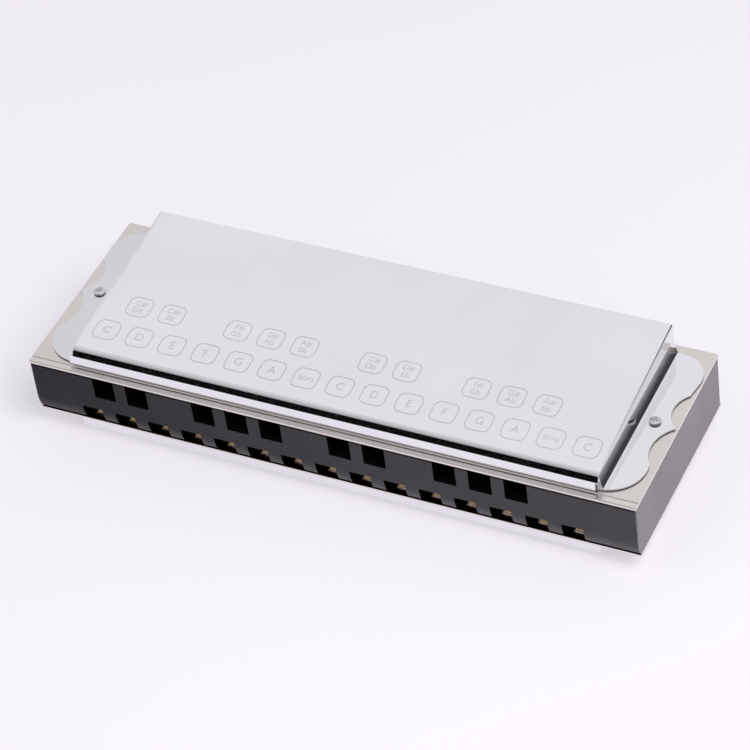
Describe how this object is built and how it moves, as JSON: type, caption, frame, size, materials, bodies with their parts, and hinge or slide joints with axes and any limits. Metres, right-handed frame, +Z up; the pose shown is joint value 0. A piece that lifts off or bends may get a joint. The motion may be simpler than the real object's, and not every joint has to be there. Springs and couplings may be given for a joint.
{
  "type": "bass harmonica",
  "caption": "Bass harmonica: black comb with two rows of mouth holes between reed plates with sprung reeds, under wedge-shaped metal covers that are open at the back.",
  "frame": {"origin": "middle of the bounding box in plan, on the ground that the lower cover rests on", "axes": "+X from the low notes to the high ones along the row of holes, +Y from the mouth face to the back, +Z up; the body leans back by the wedge of the lower cover"},
  "size_m": [0.2464, 0.085, 0.0552],
  "materials": {
    "black_plastic": "moulded, satin",
    "nickel_sheet": "polished nickel plate",
    "plate_metal": "satin, warm pale metal",
    "reed_brass": "milled",
    "rivet_brass": "turned",
    "screw_steel": "plated"
  },
  "bodies": {
    "harmonica": {"comb": "black_plastic", "lower_cover": "nickel_sheet", "lower_cover_screw_high_end": "screw_steel", "lower_cover_screw_low_end": "screw_steel", "lower_reed_plate": "plate_metal", "rivet_natural_01": "rivet_brass", "rivet_natural_02": "rivet_brass", "rivet_natural_03": "rivet_brass", "rivet_natural_04": "rivet_brass", "rivet_natural_05": "rivet_brass", "rivet_natural_06": "rivet_brass", "rivet_natural_07": "rivet_brass", "rivet_natural_08": "rivet_brass", "rivet_natural_09": "rivet_brass", "rivet_natural_10": "rivet_brass", "rivet_natural_11": "rivet_brass", "rivet_natural_12": "rivet_brass", "rivet_natural_13": "rivet_brass", "rivet_natural_14": "rivet_brass", "rivet_natural_15": "rivet_brass", "rivet_sharp_01": "rivet_brass", "rivet_sharp_02": "rivet_brass", "rivet_sharp_03": "rivet_brass", "rivet_sharp_04": "rivet_brass", "rivet_sharp_05": "rivet_brass", "rivet_sharp_06": "rivet_brass", "rivet_sharp_07": "rivet_brass", "rivet_sharp_08": "rivet_brass", "rivet_sharp_09": "rivet_brass", "rivet_sharp_10": "rivet_brass", "upper_cover": "nickel_sheet", "upper_cover_screw_high_end": "screw_steel", "upper_cover_screw_low_end": "screw_steel", "upper_reed_plate": "plate_metal"},
    "reed_natural_01": {"reed_natural_01": "reed_brass"},
    "reed_natural_02": {"reed_natural_02": "reed_brass"},
    "reed_natural_03": {"reed_natural_03": "reed_brass"},
    "reed_natural_04": {"reed_natural_04": "reed_brass"},
    "reed_natural_05": {"reed_natural_05": "reed_brass"},
    "reed_natural_06": {"reed_natural_06": "reed_brass"},
    "reed_natural_07": {"reed_natural_07": "reed_brass"},
    "reed_natural_08": {"reed_natural_08": "reed_brass"},
    "reed_natural_09": {"reed_natural_09": "reed_brass"},
    "reed_natural_10": {"reed_natural_10": "reed_brass"},
    "reed_natural_11": {"reed_natural_11": "reed_brass"},
    "reed_natural_12": {"reed_natural_12": "reed_brass"},
    "reed_natural_13": {"reed_natural_13": "reed_brass"},
    "reed_natural_14": {"reed_natural_14": "reed_brass"},
    "reed_natural_15": {"reed_natural_15": "reed_brass"},
    "reed_sharp_01": {"reed_sharp_01": "reed_brass"},
    "reed_sharp_02": {"reed_sharp_02": "reed_brass"},
    "reed_sharp_03": {"reed_sharp_03": "reed_brass"},
    "reed_sharp_04": {"reed_sharp_04": "reed_brass"},
    "reed_sharp_05": {"reed_sharp_05": "reed_brass"},
    "reed_sharp_06": {"reed_sharp_06": "reed_brass"},
    "reed_sharp_07": {"reed_sharp_07": "reed_brass"},
    "reed_sharp_08": {"reed_sharp_08": "reed_brass"},
    "reed_sharp_09": {"reed_sharp_09": "reed_brass"},
    "reed_sharp_10": {"reed_sharp_10": "reed_brass"}
  },
  "joints": [
    {"name": "reed_natural_01_bend", "type": "hinge", "parent": "harmonica", "child": "reed_natural_01", "pos_m": [-0.09814, 0.02807, 0.0154], "axis": [1, 0, 0], "range_deg": [-3, 3], "stiffness_Nm_per_rad": 0.15},
    {"name": "reed_natural_02_bend", "type": "hinge", "parent": "harmonica", "child": "reed_natural_02", "pos_m": [-0.08408, 0.02664, 0.01527], "axis": [1, 0, 0], "range_deg": [-3, 3], "stiffness_Nm_per_rad": 0.15},
    {"name": "reed_natural_03_bend", "type": "hinge", "parent": "harmonica", "child": "reed_natural_03", "pos_m": [-0.07002, 0.02522, 0.01515], "axis": [1, 0, 0], "range_deg": [-3, 3], "stiffness_Nm_per_rad": 0.15},
    {"name": "reed_natural_04_bend", "type": "hinge", "parent": "harmonica", "child": "reed_natural_04", "pos_m": [-0.05596, 0.0238, 0.01502], "axis": [1, 0, 0], "range_deg": [-3, 3], "stiffness_Nm_per_rad": 0.15},
    {"name": "reed_natural_05_bend", "type": "hinge", "parent": "harmonica", "child": "reed_natural_05", "pos_m": [-0.0419, 0.02238, 0.01489], "axis": [1, 0, 0], "range_deg": [-3, 3], "stiffness_Nm_per_rad": 0.15},
    {"name": "reed_natural_06_bend", "type": "hinge", "parent": "harmonica", "child": "reed_natural_06", "pos_m": [-0.02784, 0.02095, 0.01477], "axis": [1, 0, 0], "range_deg": [-3, 3], "stiffness_Nm_per_rad": 0.15},
    {"name": "reed_natural_07_bend", "type": "hinge", "parent": "harmonica", "child": "reed_natural_07", "pos_m": [-0.01378, 0.01953, 0.01464], "axis": [1, 0, 0], "range_deg": [-3, 3], "stiffness_Nm_per_rad": 0.15},
    {"name": "reed_natural_08_bend", "type": "hinge", "parent": "harmonica", "child": "reed_natural_08", "pos_m": [0.00028, 0.01811, 0.01451], "axis": [1, 0, 0], "range_deg": [-3, 3], "stiffness_Nm_per_rad": 0.15},
    {"name": "reed_natural_09_bend", "type": "hinge", "parent": "harmonica", "child": "reed_natural_09", "pos_m": [0.01434, 0.01668, 0.01439], "axis": [1, 0, 0], "range_deg": [-3, 3], "stiffness_Nm_per_rad": 0.15},
    {"name": "reed_natural_10_bend", "type": "hinge", "parent": "harmonica", "child": "reed_natural_10", "pos_m": [0.0284, 0.01526, 0.01426], "axis": [1, 0, 0], "range_deg": [-3, 3], "stiffness_Nm_per_rad": 0.15},
    {"name": "reed_natural_11_bend", "type": "hinge", "parent": "harmonica", "child": "reed_natural_11", "pos_m": [0.04246, 0.01384, 0.01413], "axis": [1, 0, 0], "range_deg": [-3, 3], "stiffness_Nm_per_rad": 0.15},
    {"name": "reed_natural_12_bend", "type": "hinge", "parent": "harmonica", "child": "reed_natural_12", "pos_m": [0.05652, 0.01242, 0.01401], "axis": [1, 0, 0], "range_deg": [-3, 3], "stiffness_Nm_per_rad": 0.15},
    {"name": "reed_natural_13_bend", "type": "hinge", "parent": "harmonica", "child": "reed_natural_13", "pos_m": [0.07058, 0.01099, 0.01388], "axis": [1, 0, 0], "range_deg": [-3, 3], "stiffness_Nm_per_rad": 0.15},
    {"name": "reed_natural_14_bend", "type": "hinge", "parent": "harmonica", "child": "reed_natural_14", "pos_m": [0.08464, 0.00957, 0.01375], "axis": [1, 0, 0], "range_deg": [-3, 3], "stiffness_Nm_per_rad": 0.15},
    {"name": "reed_natural_15_bend", "type": "hinge", "parent": "harmonica", "child": "reed_natural_15", "pos_m": [0.0987, 0.00815, 0.01363], "axis": [1, 0, 0], "range_deg": [-3, 3], "stiffness_Nm_per_rad": 0.15},
    {"name": "reed_sharp_01_bend", "type": "hinge", "parent": "harmonica", "child": "reed_sharp_01", "pos_m": [-0.09201, 0.02534, 0.03795], "axis": [1, 0, 0], "range_deg": [-3, 3], "stiffness_Nm_per_rad": 0.15},
    {"name": "reed_sharp_02_bend", "type": "hinge", "parent": "harmonica", "child": "reed_sharp_02", "pos_m": [-0.07795, 0.02392, 0.03782], "axis": [1, 0, 0], "range_deg": [-3, 3], "stiffness_Nm_per_rad": 0.15},
    {"name": "reed_sharp_03_bend", "type": "hinge", "parent": "harmonica", "child": "reed_sharp_03", "pos_m": [-0.04983, 0.02107, 0.03757], "axis": [1, 0, 0], "range_deg": [-3, 3], "stiffness_Nm_per_rad": 0.15},
    {"name": "reed_sharp_04_bend", "type": "hinge", "parent": "harmonica", "child": "reed_sharp_04", "pos_m": [-0.03577, 0.01965, 0.03744], "axis": [1, 0, 0], "range_deg": [-3, 3], "stiffness_Nm_per_rad": 0.15},
    {"name": "reed_sharp_05_bend", "type": "hinge", "parent": "harmonica", "child": "reed_sharp_05", "pos_m": [-0.02171, 0.01823, 0.03731], "axis": [1, 0, 0], "range_deg": [-3, 3], "stiffness_Nm_per_rad": 0.15},
    {"name": "reed_sharp_06_bend", "type": "hinge", "parent": "harmonica", "child": "reed_sharp_06", "pos_m": [0.00641, 0.01538, 0.03706], "axis": [1, 0, 0], "range_deg": [-3, 3], "stiffness_Nm_per_rad": 0.15},
    {"name": "reed_sharp_07_bend", "type": "hinge", "parent": "harmonica", "child": "reed_sharp_07", "pos_m": [0.02047, 0.01396, 0.03693], "axis": [1, 0, 0], "range_deg": [-3, 3], "stiffness_Nm_per_rad": 0.15},
    {"name": "reed_sharp_08_bend", "type": "hinge", "parent": "harmonica", "child": "reed_sharp_08", "pos_m": [0.04859, 0.01111, 0.03668], "axis": [1, 0, 0], "range_deg": [-3, 3], "stiffness_Nm_per_rad": 0.15},
    {"name": "reed_sharp_09_bend", "type": "hinge", "parent": "harmonica", "child": "reed_sharp_09", "pos_m": [0.06265, 0.00969, 0.03655], "axis": [1, 0, 0], "range_deg": [-3, 3], "stiffness_Nm_per_rad": 0.15},
    {"name": "reed_sharp_10_bend", "type": "hinge", "parent": "harmonica", "child": "reed_sharp_10", "pos_m": [0.07671, 0.00827, 0.03643], "axis": [1, 0, 0], "range_deg": [-3, 3], "stiffness_Nm_per_rad": 0.15}
  ]
}
